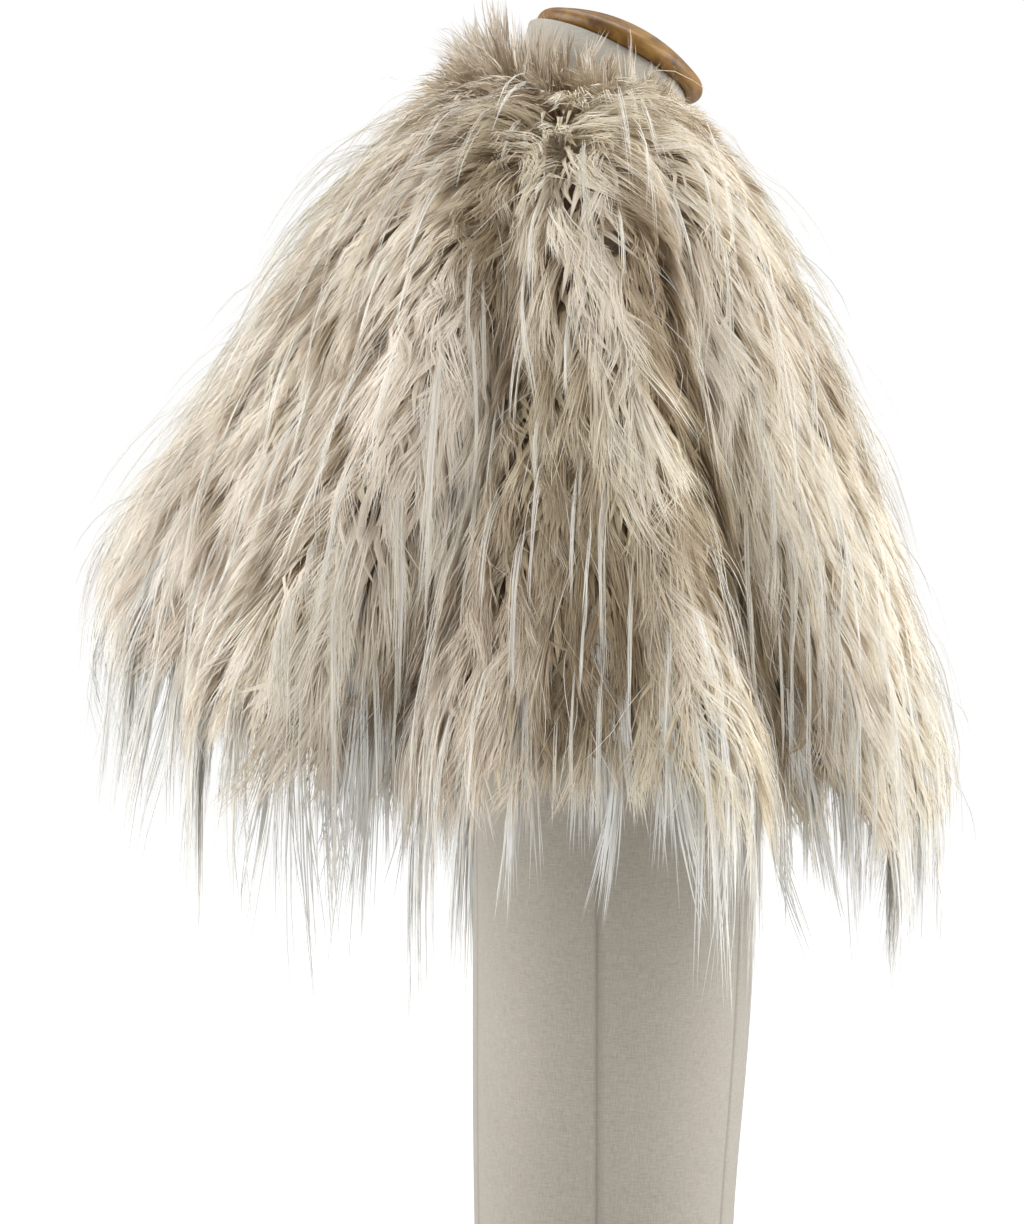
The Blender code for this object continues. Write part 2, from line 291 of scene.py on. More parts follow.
coat = {
    "shoulders": [(-0.186, 0.030, 0.690), (0.186, 0.030, 0.690)],  # the nap fans out from here
    "fanReach": 0.075,
    "fanPull": 1.1,
    "flutesFrom": 96,  # azimuth of the shoulders, and how the nap follows the flutes
    "flutesWidth": 52,
    "flutesStart": 0.20,
    "flutesFollow": 0.55,
    "farShare": 0.62,  # tufts on the left for each on the right, and how much broader
    "farBroad": 0.4,
    "clumpSize": 0.06,
    "crowdedFrom": (0.3, 0.9),  # how upright tufts must be where more of them grow
    "neckStand": 0.024,  # metres down from the neck edge in which tufts stand up
    "shoulderStand": 0.050,
    "shoulderShare": 0.55,  # how upright they are on the shoulders
    "shoulderStray": 0.3,
    "uprightLean": 0.45,
    "uprightTilt": 0.38,
    "wispTilt": 0.20,
    "uprightGather": 0.85,
    "uprightShort": 0.86,  # share of the way along the cloth that an upright tuft loses
    "uprightPale": 0.01,
    "uprightRoll": 0.8,
    "neckBack": 0.008,  # metres back over the neck edge
    "tallFrom": (52, 40),  # degrees off the front, and until full height
    "tallest": (16, 131),  # half width, and degrees off the front
    "tallestMore": 0.35,
    "lengthLimits": (0.6, 1.15),
    "shortFront": 0.42,  # share of the pile's length lost at the top of the fronts
    "frontReach": 0.40,
    "shortHem": 0.36,  # and at the hem beside the fronts
    "shortHemAt": (20, 46),
    "shortHemFrom": (0.65, 0.35),  # share of the way down, and until full
    "longHemFrom": (0.78, 0.20),
    "paleLength": 0.2,  # how much longer the palest pile is
    "paleRise": 0.12,  # and higher, and how much lower the darkest
    "darkDip": 0.38,
    "darkTone": 1.6,
    "thickBehind": 0.40,  # more depth at the top of the back
    "behindFrom": (110, 50),
    "tuftRise": (0.80, 1.16),  # limits of chance
    "wispRise": (0.78, 1.08),
    "tuftHeight": (0.65, 1.15),
    "wispHeight": (0.66, 1.05),
    "strandHeight": (0.80, 1.05),
    "strandWidth": (0.75, 1.20),
    "thinWidth": 0.5,
    "crestHeight": 0.014,  # metres a flute stands out for its full painted light on the crest, or painted shade in a valley
    "warmth": 0.55,  # share of warm strands at the sides, and how it falls for each metre back
    "warmthFall": 2.2,
    "warmthMottle": 0.3,
    "shadeBase": 0.20,
    "mottle": 0.34,
    "mottleSize": 0.042,
    "shadeBands": [  # azimuth and share down the line, half width in degrees, how closed and pale; paler is painted light, darker is painted shade
        ([(104, 0.24), (104, 0.33), (107, 0.42), (104, 0.50), (100, 0.58)], 4.5, -0.8),
        ([(97, 0.58), (96, 0.67)], 5.5, -0.5),
        ([(95, 0.74), (93, 0.85), (92, 1.00)], 6, -1.2),
        ([(88, 0.86), (88, 0.96)], 3, -1.0),
        ([(100, 0.57), (98, 0.64)], 3, -0.4),
        ([(86.5, 0.40), (85.5, 0.52), (82.5, 0.65), (79.5, 0.74), (77, 0.84)], 4.6, -2.8),
        ([(68, 0.85), (65, 0.92), (66, 1.00)], 5.5, -1.3),
        ([(93, 0.34), (91, 0.44), (89.5, 0.51), (86.5, 0.62), (85.5, 0.70)], 3.1, 3.3),
        ([(86, 0.72), (84, 0.80), (81, 0.90), (79, 1.00)], 2.4, 0.4),
        ([(80, 0.37), (80, 0.48), (75, 0.54), (64, 0.65), (55, 0.80), (52, 1.00)], 8, 1.0),
        ([(48, 0.66), (46, 1.00)], 16, 0.45),
        ([(117, 0.42), (115, 0.50), (111, 0.58), (109, 0.70), (109, 0.80)], 4, 2.0),
        ([(118, 0.58), (116, 0.68), (118, 0.78), (123, 0.88), (126, 0.97)], 3.2, 2.0),
        ([(123, 0.58), (125, 0.75), (126, 0.90)], 2.6, 1.1),
        ([(121, 0.54), (121, 0.70), (122, 0.80)], 2.0, -2.4),
        ([(111, 0.85), (113, 0.90), (116, 0.95), (117, 1.00)], 4.0, -1.9),
        ([(134, 0.75), (131, 0.86), (129, 0.93)], 3.4, -2.0),
        ([(134, 0.50), (129, 0.60), (128, 0.68)], 2.6, -1.3),
        ([(149, 0.84), (145, 0.93)], 3.5, -1.3),
        ([(113, 0.27), (109, 0.37)], 4, -0.5),
        ([(100, 0.04), (97, 0.22)], 18, -0.45),
        ([(95, 0.00), (95, 0.02)], 50, -0.3),
        ([(152, 0.12), (138, 0.45)], 18, 0.45),
        ([(45, 0.12), (58, 0.40)], 20, 0.32),
        ([(148, 0.60), (144, 1.00)], 27, 0.90),
    ],
}


def sites(layer, rng, shake=0.42):
    # evenly scattered places on the cloth, as azimuths and shares of the way down
    found = []
    degrees = np.arange(columnCount + 1) * 360 / columnCount
    count = int(round(clothLengths.mean() / layer["rowSpacing"]))
    for number in range(count):
        share = (number + 0.5) / count
        pace = readMap(roundPace, degrees[:-1], np.full(columnCount, share))
        ring = np.append(0, np.cumsum(pace * 360 / columnCount))
        many = int(ring[-1] / layer["spacing"])
        places = np.arange(many) + 0.5 * (number % 2) + rng.uniform(-shake, shake, many)
        azimuth = np.interp(places * ring[-1] / many % ring[-1], ring, degrees)
        shares = (share + rng.uniform(-shake, shake, many) / count).clip(0, 1)
        found.append(np.stack([azimuth, shares]))
    return np.concatenate(found, 1)


def panelOf(azimuth, share):
    column = np.round((azimuth % 360) * columnCount / 360).astype(int) % columnCount
    return clothPanels[column, np.round(share * (rowCount - 1)).astype(int)]


def flowAt(point, azimuth, share):
    # angle of the nap off straight down the cape, towards the next azimuth, in radians
    along, across = unit(readMap(downWays, azimuth, share)), readMap(roundWays, azimuth, share)
    gaps = np.array([np.linalg.norm(point - np.array(c), axis=-1) for c in coat["shoulders"]])
    away = point - np.array(coat["shoulders"])[gaps.argmin(0)]
    pull = coat["fanPull"] * bump(gaps.min(0), coat["fanReach"])
    away = unit(away)
    fan = np.arctan2(pull * (away * across).sum(-1), np.maximum(1 + pull * (away * along).sum(-1), 0.2))
    right = azimuth % 360 < 180
    off = turnBetween(azimuth, np.where(right, coat["flutesFrom"], 360 - coat["flutesFrom"]))
    start = coat["flutesStart"]
    opened = rampUp(share, start, 1 - start)
    drawn = bump(off, coat["flutesWidth"])
    turning = off * drawn * 1.75 * opened**0.4 / np.maximum(1 - drawn * (1 - opened**1.4), 0.5)
    swing = turning * readMap(roundPace, azimuth, share) / readMap(clothLengths, azimuth)
    return fan + coat["flutesFollow"] * np.arctan(swing)


def shadeAt(azimuth, share):
    # 1 where the pile lies closed and pale, -1 where it opens and shows its depth; as tone this is painted
    # light on the lit sides and crests and painted shade in the middle and the valleys
    total = np.full_like(azimuth, coat["shadeBase"])
    for line, halfWidth, amount in coat["shadeBands"]:
        turns, shares = np.array(line).T
        past = np.maximum(shares[0] - share, 0) + np.maximum(share - shares[-1], 0)
        middle = np.interp(share, shares, turns)
        for turned in (middle, 360 - middle):
            total += amount * bump(turnBetween(azimuth, turned), halfWidth) * bump(past, 0.04)
    turn = np.radians(azimuth)
    place = np.stack([0.2 * np.cos(turn), 0.2 * np.sin(turn), 0.15 * share], -1)
    return (total + coat["mottle"] * patches(place, coat["mottleSize"], 31)).clip(-1, 1)


def standAt(azimuth, share):
    # how near the neck edge and the shoulders are, where tufts stand up
    point = readMap(clothPoints, azimuth, share)
    gaps = [np.linalg.norm(point - np.array(c), axis=-1) for c in coat["shoulders"]]
    toNeck = bump(share * readMap(clothLengths, azimuth), coat["neckStand"])
    return np.stack([toNeck, bump(np.min(gaps, axis=0), coat["shoulderStand"])])


def placeTufts(layer, rng):
    # where tufts grow, and how long, high, upright, turned, pale and warm each of them is
    azimuth, share = sites(layer, rng)
    if layer["standing"] == 1:  # more of them where tufts stand up
        more = np.concatenate([sites(layer, rng), sites(layer, rng)], axis=1)
        toNeck, toShoulder = standAt(*more)
        crowded = toNeck + 0.8 * toShoulder > rng.uniform(*coat["crowdedFrom"], len(toNeck))
        azimuth, share = np.append(azimuth, more[0, crowded]), np.append(share, more[1, crowded])
    shade = shadeAt(azimuth, share)
    near = np.sqrt(0.5 + 0.5 * np.sin(np.radians(azimuth)))  # the right side is the finer one
    clumps = patches(readMap(clothPoints, azimuth, share), coat["clumpSize"], 17)
    chance = layer["keep"] * (coat["farShare"] + (1 - coat["farShare"]) * near)
    chance = chance * (1 + layer["patchy"] * clumps + layer["onPale"] * shade)
    wanted = (panelOf(azimuth, share) >= 0) & (share >= layer["from"]) & (rng.random(len(share)) < chance)
    azimuth, share, shade, near = azimuth[wanted], share[wanted], shade[wanted], near[wanted]
    count = len(share)
    travel = share * readMap(clothLengths, azimuth)
    point, along, _ = overCloth(azimuth, travel)
    toNeck, toShoulder = standAt(azimuth, share)
    stand = np.clip(toNeck + coat["shoulderShare"] * toShoulder, 0, 1) * layer["standing"]
    offFront = np.abs(turnBetween(azimuth, 0))
    behind = rampUp(offFront, *coat["behindFrom"])

    front = np.cos(np.radians(azimuth)).clip(0, 1) ** 2 * bump(share, coat["frontReach"])
    spread = rng.normal(1, layer["lengthSpread"], count).clip(*coat["lengthLimits"])
    scale = (1 - coat["shortFront"] * front) * spread
    length = layer["length"] * scale * (1 + layer["longHem"] * rampUp(share, *coat["longHemFrom"]))
    length = length * (1 + coat["paleLength"] * shade)
    besideFront = coat["shortHem"] * bump(offFront, *coat["shortHemAt"])
    length = length * (1 - besideFront * rampUp(share, *coat["shortHemFrom"]))
    swell = 1 + np.where(shade < 0, coat["darkDip"], coat["paleRise"]) * shade
    rise = layer["rise"] * (0.5 + 0.5 * scale) * swell
    depth = 1 + coat["thickBehind"] * behind * (1 - share) ** 0.5
    rise = rise * rng.uniform(*coat["tuftRise"], count) * depth
    tall = 0.5 + 0.5 * rampUp(offFront, *coat["tallFrom"])
    tall = tall + coat["tallestMore"] * bump(offFront, *coat["tallest"])
    stray = layer["stray"] * (1 + layer["ruffle"] * (-shade).clip(0, 1)) + coat["shoulderStray"] * toShoulder
    angle = layer["follows"] * flowAt(point, azimuth, share) + rng.normal(0, 1, count) * stray

    # painted light on the flutes' crests and painted shade in their valleys; upright tufts a little paler
    # against the shade among them
    crestLight = np.clip(readMap(crestHeights, azimuth, share) / coat["crestHeight"], -1.2, 1.0)
    blotches = patches(point, 0.07, 5) + 0.7 * patches(point, 0.022, 8)
    tone = layer["tone"] + layer["toneByCrest"] * crestLight + coat["uprightPale"] * stand
    tone = tone + layer["tonePatch"] * blotches
    tone = tone + rng.normal(0, layer["toneSpread"], count) * (1 - 0.5 * shade.clip(0, 1))
    warmth = coat["warmth"] - coat["warmthFall"] * point[:, 1]  # the back is pinker
    warmth = np.clip(warmth + coat["warmthMottle"] * patches(point, 0.11, 11), 0, 1)
    warmth = warmth * (1 - 0.5 * toNeck) * (1 - layer["ownWarmth"][0]) + layer["ownWarmth"][1]
    return {
        "azimuth": azimuth, "travel": travel, "panel": panelOf(azimuth, share), "near": near, "shade": shade,
        "pace": np.maximum(readMap(roundPace, azimuth, share), 0.0006),
        "across": readMap(roundWays, azimuth, share), "along": along, "behind": behind,
        "toNeck": toNeck, "stand": stand, "scale": scale, "length": length, "rise": rise, "tall": tall,
        "angle": angle, "tone": tone, "warmth": warmth, "bend": rng.normal(0, layer["bend"], count),
    }


def growHair(layer):
    # tufts of wisps of strands, each strand with its path, facing, roll, width, tone and warmth
    rng = np.random.default_rng(layer["seed"])
    tufts = placeTufts(layer, rng)
    count = len(tufts["azimuth"])
    wispOf = np.repeat(np.arange(count), layer["wisps"])
    strandOf = np.repeat(np.arange(len(wispOf)), layer["strands"])
    tuftOf = wispOf[strandOf]
    wisps, strands = len(wispOf), len(strandOf)
    own = {key: value[tuftOf] for key, value in tufts.items()}  # its tuft's values, for each strand
    t = np.linspace(layer["hidden"], 1, layer["steps"] + 1)[None, :]

    def scatter(many, sideways, endways):
        radius, spin = np.sqrt(rng.random(many)), rng.uniform(0, 2 * math.pi, many)
        return sideways * radius * np.cos(spin), endways * radius * np.sin(spin)

    wispSide, wispEnd = scatter(wisps, *layer["tuftSize"])
    ownSide, ownEnd = scatter(strands, *layer["wispSize"])
    stand = own["stand"]
    up = stand[:, None]
    calm = 1 - layer["smooth"] * own["shade"].clip(0, 1) * (1 - stand)  # pale fur lies smooth
    gather = layer["tuftGather"] * (1 - up) * calm[:, None] + coat["uprightGather"] * up
    drawTuft = 1 - gather * t ** layer["gatherLate"]
    drawWisp = 1 - layer["wispGather"] * t ** layer["gatherLate"]
    sideways = wispSide[strandOf][:, None] * drawTuft + ownSide[:, None] * drawWisp
    endways = wispEnd[strandOf][:, None] * drawTuft + ownEnd[:, None] * drawWisp
    edge = (wispSide[strandOf] + ownSide) / (layer["tuftSize"][0] + layer["wispSize"][0])

    reach = own["length"] * rng.uniform(layer["shortest"], 1.0, wisps)[strandOf]
    reach = reach * rng.uniform(layer["ragged"], 1.0, strands)
    lift = own["rise"] * rng.uniform(*coat["wispRise"], wisps)[strandOf] * (1 - layer["dome"] * edge**2)
    height = (tufts["scale"] * tufts["tall"] * rng.uniform(*coat["tuftHeight"], count))[tuftOf]
    height = layer["upright"] * height * rng.uniform(*coat["wispHeight"], wisps)[strandOf]
    height = height * rng.uniform(*coat["strandHeight"], strands)
    lift = lift[:, None] * (1 - up) + height[:, None] * up
    back = coat["neckBack"] * own["toNeck"] * layer["standing"]
    forward = (reach * (1 - coat["uprightShort"] * stand) - back)[:, None]
    ease = t ** (1.3 - 0.2 * up)
    raised = lift * (1 - (1 - t) ** layer["swiftness"]) * (1 - layer["droop"] * t**2 * (1 - up))
    turn = (own["angle"] + rng.normal(0, layer["strandTurn"], strands) * calm)[:, None]
    turn = turn + (rng.normal(0, layer["wispTurn"], wisps)[strandOf] * calm + own["bend"])[:, None] * t
    aside = np.sin(turn) * forward * ease + sideways
    aside = aside + rng.normal(0, layer["kink"], strands)[:, None] * np.sin(t * math.pi * 0.8)
    pathAzimuth = own["azimuth"][:, None] + aside / own["pace"][:, None]
    pathTravel = own["travel"][:, None] + np.cos(turn) * forward * ease + endways

    hang = layer["hang"] * (1 + 2 * own["behind"])[:, None, None]
    base, _, facing = overCloth(pathAzimuth, pathTravel, hang)
    tilt = rng.normal(0, coat["uprightTilt"], (2, count))[:, tuftOf]
    tilt = tilt + rng.normal(0, coat["wispTilt"], (2, wisps))[:, strandOf]
    tilt = (tilt * stand)[..., None, None]
    lean = (coat["uprightLean"] * (0.5 + 2.8 * own["toNeck"] ** 2))[:, None] * up
    outTo = facing + np.array([0, 0, 1.0]) * lean[..., None]
    outTo = unit(outTo + tilt[0] * own["across"][:, None] + tilt[1] * own["along"][:, None])
    paths = base + outTo * (raised + layer["start"])[..., None]
    level = unit(own["across"] * np.array([1, 1, 0]))[:, None]
    drift = ((paths - paths[:, :1]) * level).sum(-1, keepdims=True)

    # each strand takes the painted light or shade of the place where its end lies
    endShare = pathTravel[:, -2] / readMap(clothLengths, pathAzimuth[:, -2])
    paintedShade = shadeAt(pathAzimuth[:, -2], endShare) * (1 - 0.5 * stand)
    tone = own["tone"] + layer["toneByShade"] * np.where(paintedShade < 0, coat["darkTone"], 1) * paintedShade
    thin = np.where(rng.random(strands) < layer["thinShare"], coat["thinWidth"], 1.0)
    broad = 1 + coat["farBroad"] - coat["farBroad"] * own["near"]
    width = layer["width"] * rng.uniform(*coat["strandWidth"], strands) * thin * broad
    roll = rng.normal(0, 1, strands) * (layer["roll"] + coat["uprightRoll"] * stand)
    tone = tone + rng.normal(0, layer["wispTone"], wisps)[strandOf]
    tone = tone + rng.normal(0, layer["strandTone"], strands)
    return {
        "paths": paths - level * drift * layer["plumb"], "facing": facing,
        "width": width, "roll": -layer["rounding"] * edge + roll, "tone": tone, "warmth": own["warmth"],
        # the roots start paler under painted light and on upright tufts, with less painted shade at the root
        "rootLight": (0.10 + 0.36 * paintedShade + 0.5 * stand).clip(0, 0.55),
        "azimuth": own["azimuth"], "panel": own["panel"],
    }


def ribbonFaces(steps):
    # the corners of one ribbon's faces and where each face starts, the tip a triangle
    corners, starts = [], []
    for k in range(steps - 1):
        starts.append(len(corners))
        corners += [2 * k, 2 * k + 1, 2 * k + 3, 2 * k + 2]
    starts.append(len(corners))
    corners += [2 * steps - 2, 2 * steps - 1, 2 * steps]
    return np.array(corners), np.array(starts)


def mapHair(mesh, hair, chosen, layer, loops):
    # u is the strand's tone, cooler strands in the left half, and v runs from root to tip
    count, rows = hair["paths"][chosen].shape[:2]
    tone = np.clip(hair["tone"][chosen], 0.04, 0.96)
    warm = hair["warmth"][chosen] > np.random.default_rng(3).random(count)
    middle = np.where(warm, 0.5 + tone / 2, tone / 2)
    across = layer["stripes"] * hair["width"][chosen] / layer["width"]
    u = np.empty((count, 2 * rows - 1), np.float32)
    v = np.empty((count, 2 * rows - 1), np.float32)
    u[:, 0::2], u[:, 1::2] = (middle - across)[:, None], (middle + across)[:, None]
    u[:, -1] = middle
    start = hair["rootLight"][chosen][:, None]
    v[:, 0:-1:2] = v[:, 1:-1:2] = 0.01 + 0.98 * (start + (1 - start) * np.linspace(0, 1, rows)[:-1])
    v[:, -1] = 0.99
    uv = np.stack([u.ravel(), v.ravel()], 1)[loops].ravel()
    for mapName in ("hairMap", "OFBake"):
        mesh.uv_layers.new(name=mapName, do_init=False)
        mesh.uv_layers[mapName].data.foreach_set("uv", uv)
    mesh.uv_layers.active = mesh.uv_layers["hairMap"]


def ribbonMesh(name, hair, chosen, layer):
    # tapered flat ribbons, one for each chosen strand, joined in one mesh
    paths, facing = hair["paths"][chosen], hair["facing"][chosen]
    count, rows = paths.shape[:2]
    tangent = unit(np.gradient(paths, axis=1))
    side = unit(np.cross(tangent, facing))
    lean = unit(np.cross(side, tangent))
    roll = hair["roll"][chosen][:, None, None]
    side = side * np.cos(roll) + lean * np.sin(roll)
    half = 0.5 * hair["width"][chosen][:, None, None] * np.array(layer["taper"])[None, :, None]
    left, right = paths - side * half, paths + side * half
    soft = unit(unit(np.cross(side, tangent)) * (1 - layer["softness"]) + facing * layer["softness"])
    corners = np.empty((count, 2 * rows - 1, 3), np.float32)
    corners[:, 0:-1:2] = left[:, :-1]
    corners[:, 1:-1:2] = right[:, :-1]
    corners[:, -1] = paths[:, -1]
    loop, starts = ribbonFaces(rows - 1)
    first = np.arange(count)[:, None]
    loops = (first * (2 * rows - 1) + loop[None]).ravel().astype(np.int32)
    polygons = (first * len(loop) + starts[None]).ravel().astype(np.int32)
    mesh = bpy.data.meshes.new(name)
    mesh.vertices.add(corners.shape[0] * corners.shape[1])
    mesh.vertices.foreach_set("co", corners.ravel())
    mesh.loops.add(len(loops))
    mesh.loops.foreach_set("vertex_index", loops)
    mesh.polygons.add(len(polygons))
    mesh.polygons.foreach_set("loop_start", polygons)
    mesh.update(calc_edges=True)
    mesh.polygons.foreach_set("use_smooth", np.ones(len(polygons), bool))
    mapHair(mesh, hair, chosen, layer, loops)
    piece = bpy.data.objects.new(name, mesh)
    bpy.context.collection.objects.link(piece)
    mesh.materials.append(layer["material"])
    mesh.validate()
    # shaded as one soft pile, more than as single blades
    normals = np.empty_like(corners)
    normals[:, 0:-1:2] = normals[:, 1:-1:2] = soft[:, :-1]
    normals[:, -1] = soft[:, -1]
    mesh.normals_split_custom_set_from_vertices(normals.reshape(-1, 3))
    return piece


pileShades = {
    # the root colour: partly the fibres' own, partly painted shade deep in the pile
    "root": (0.378, 0.284, 0.168),
    "rootMix": 0.75,
    "rootReach": 0.90,
    # tipLight: painted light at the tips
    "tipLight": 1.03,
    "streak": 0.35,
    "through": 0.7,  # share of the light that a strand lets past
    "throughLight": (1.0, 0.94, 0.85, 1),
    "rough": 0.6,
    "cool": [  # from the darkest strand to the palest
        (0.184, 0.132, 0.082), (0.362, 0.281, 0.196), (0.575, 0.486, 0.386),
        (0.742, 0.660, 0.558), (0.868, 0.810, 0.722),
    ],
    "warm": [
        (0.184, 0.134, 0.078), (0.376, 0.298, 0.190), (0.595, 0.512, 0.375),
        (0.748, 0.683, 0.542), (0.868, 0.822, 0.700),
    ],
}
silverShades = {
    "root": (0.44, 0.385, 0.30),
    "rootMix": 0.5,
    "rootReach": 0.45,
    # tipLight: painted light at the tips
    "tipLight": 1.05,
    "streak": 0.35,
    "through": 0.6,
    "throughLight": (1.0, 0.97, 0.92, 1),
    "rough": 0.42,
    "cool": [
        (0.40, 0.395, 0.375), (0.48, 0.475, 0.45), (0.56, 0.555, 0.53),
        (0.65, 0.645, 0.615), (0.76, 0.755, 0.72),
    ],
    "warm": [
        (0.42, 0.38, 0.31), (0.54, 0.50, 0.42), (0.64, 0.60, 0.51),
        (0.74, 0.70, 0.61), (0.86, 0.82, 0.74),
    ],
}


def hairMaterial(name, shades):
    sheen = {"Specular IOR Level": 0.20, "Sheen Weight": 0.10, "Sheen Roughness": 0.45}
    material, nodes, shader = newMaterial(name, sheen)
    place = addNode(nodes, "UVMap", uv_map="hairMap")[0]
    parts = addNode(nodes, "SeparateXYZ", {0: place})
    stops = []
    for start, family in ((0.002, "cool"), (0.502, "warm")):
        gap = 0.496 / (len(shades[family]) - 1)
        stops += [(start + gap * number, colour) for number, colour in enumerate(shades[family])]
    tones = addRamp(nodes, parts["X"], stops)
    smooth = {"interpolation_type": "SMOOTHSTEP"}
    # roots darker towards the base: partly the fibres' own darker roots, partly painted shade deep in the
    # pile
    rooted = remap(nodes, parts["Y"], (0.12, shades["rootReach"]), (shades["rootMix"], 0), **smooth)
    darkened = mixColours(nodes, rooted, tones, (*shades["root"], 1))
    # fine streaks along the strand
    stretched = addNode(nodes, "Mapping", {"Scale": (120, 2.0, 1), "Vector": place})[0]
    fine = {"Vector": stretched, "Scale": 1.0, "Detail": 2.0}
    fibres = addNode(nodes, "TexNoise", fine, noise_dimensions="2D")[0]
    streak, rough = shades["streak"], shades["rough"]
    streaks = remap(nodes, fibres, (0.30, 0.70), (1 - streak, 1 + streak * 0.6))
    # tips painted a little lighter: painted light passing through the thin ends
    tipGlow = remap(nodes, parts["Y"], (0.55, 1), (1, shades["tipLight"]), **smooth)
    strength = addNode(nodes, "Math", {0: streaks, 1: tipGlow}, operation="MULTIPLY")[0]
    shaded = addNode(nodes, "VectorMath", {0: darkened, "Scale": strength}, operation="SCALE")[0]
    gloss = remap(nodes, fibres, (0, 1), (rough - 0.08, rough + 0.12))
    feed(shader.node, {"Base Color": shaded, "Roughness": gloss})
    # fibres let part of the light on to the hair under them
    toLight = addNode(nodes, "LightPath")["Is Shadow Ray"]
    clear = addNode(nodes, "BsdfTransparent", {"Color": shades["throughLight"]})[0]
    thin = addNode(nodes, "MixShader", {0: shades["through"], 1: shader, 2: clear})[0]
    lit = addNode(nodes, "MixShader", {0: toLight, 1: shader, 2: thin})[0]
    feed(nodes["Material Output"], {"Surface": lit})
    return material


pileHair = hairMaterial("pileHair", pileShades)
silverHair = hairMaterial("silverHair", silverShades)

plainLayer = {  # what most layers share
    "from": 0,  # share of the way down from which it grows
    "keep": 1,  # share of the places that carry a tuft
    "patchy": 0,
    "onPale": 0,  # more tufts on pale fur
    "ruffle": 0,  # more stray tufts in dark places
    "smooth": 0,
    "hidden": 0,  # share of a strand left out under the coat
    "follows": 1,  # how far it follows the nap
    "plumb": 0,  # how far it falls straight down instead
    "hang": 0.03,  # metres in which it turns down past the hem
    "shortest": 0.6,  # shortest wisp of a tuft, and shortest strand of a wisp
    "ragged": 0.84,
    "tuftGather": 0,  # how far a tuft's wisps meet at their ends
    "wispGather": 0,
    "gatherLate": 1.0,
    "longHem": 0,
    "dome": 0,  # how much lower a tuft's edges lie
    "standing": 0,  # how far it stands up at the neck edge and shoulders
    "upright": 0,  # metres high there
    "strandTurn": 0,
    "start": 0,  # metres over the cloth
    "thinShare": 0,
    "rounding": 0,  # how far ribbons at a tuft's edge turn outwards
    "roll": 0.3,
    "toneByCrest": 0,
    "toneByShade": 0,
    "tonePatch": 0,
    "wispTone": 0,
    "strandTone": 0,
}
